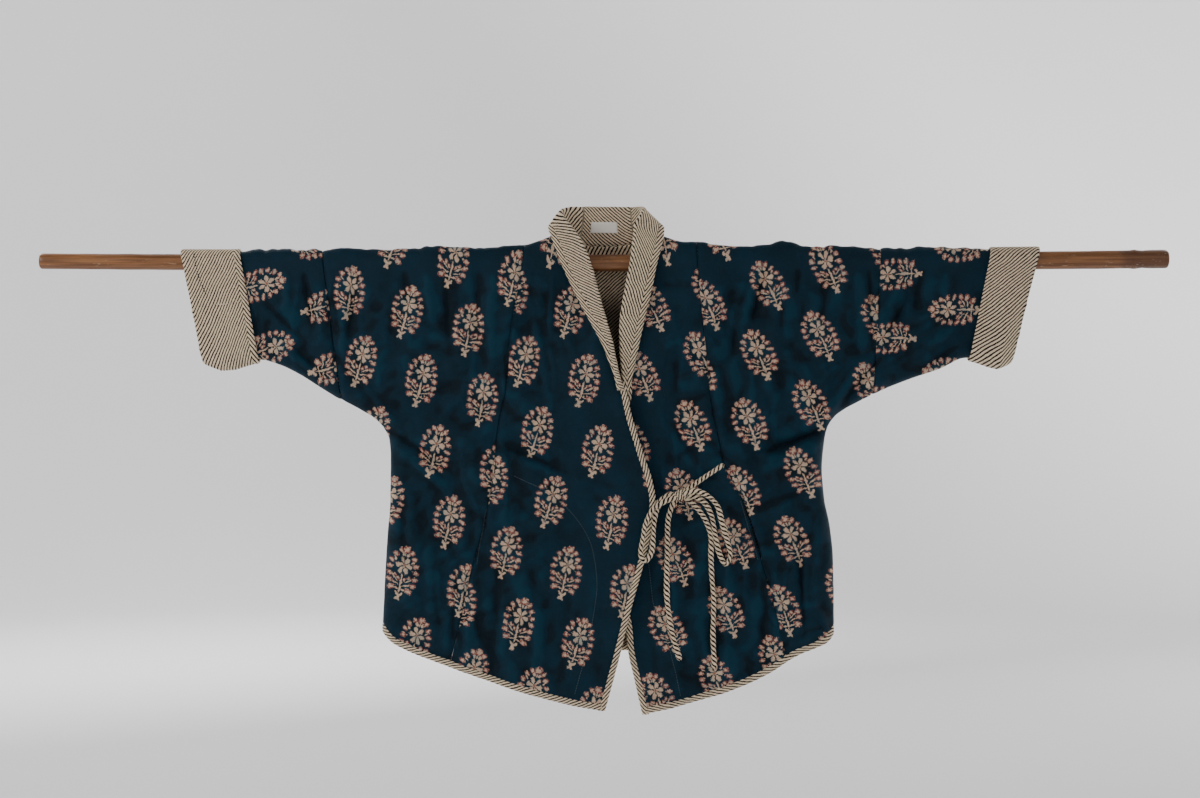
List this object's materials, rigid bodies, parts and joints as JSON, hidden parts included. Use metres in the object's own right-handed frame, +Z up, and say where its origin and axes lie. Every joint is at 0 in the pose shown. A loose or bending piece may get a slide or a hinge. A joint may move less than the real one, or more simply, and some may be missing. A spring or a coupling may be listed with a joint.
{
  "type": "kimono jacket on a rod",
  "caption": "Wrap-front kimono jacket of printed quilted cotton with a striped collar, cuffs and tie, hung flat on a bamboo rod through its sleeves.",
  "frame": {"origin": "on the rod's axis at mid length, where the rod that holds the jacket is carried", "axes": "+Z up, +X to the wearer's left along the rod, -Y out of the front"},
  "size_m": [1.522, 0.0755, 0.6853],
  "materials": {
    "printed_cotton": "matt quilted cotton, block printed",
    "striped_cotton": "matt striped cotton",
    "label_cotton": "matt woven tape",
    "bamboo": "aged satin bamboo"
  },
  "bodies": {
    "root": {"rod": "bamboo", "back": "printed_cotton", "front_side_right": "printed_cotton", "front_centre_right": "printed_cotton", "front_side_left": "printed_cotton", "front_centre_left": "printed_cotton", "sleeve_right": "printed_cotton", "sleeve_left": "printed_cotton", "cuff_right": "striped_cotton", "cuff_left": "striped_cotton", "collar": "striped_cotton", "binding_collar": "striped_cotton", "binding_front_right": "striped_cotton", "binding_front_left": "striped_cotton", "binding_hem_right": "striped_cotton", "binding_hem_left": "striped_cotton", "binding_hem_back": "striped_cotton", "bow_knot": "striped_cotton", "bow_loop_right": "striped_cotton", "bow_loop_left": "striped_cotton", "tie_right": "striped_cotton", "tie_left": "striped_cotton", "tie_tail_right": "striped_cotton", "tie_tail_left": "striped_cotton", "label": "label_cotton"}
  },
  "joints": []
}
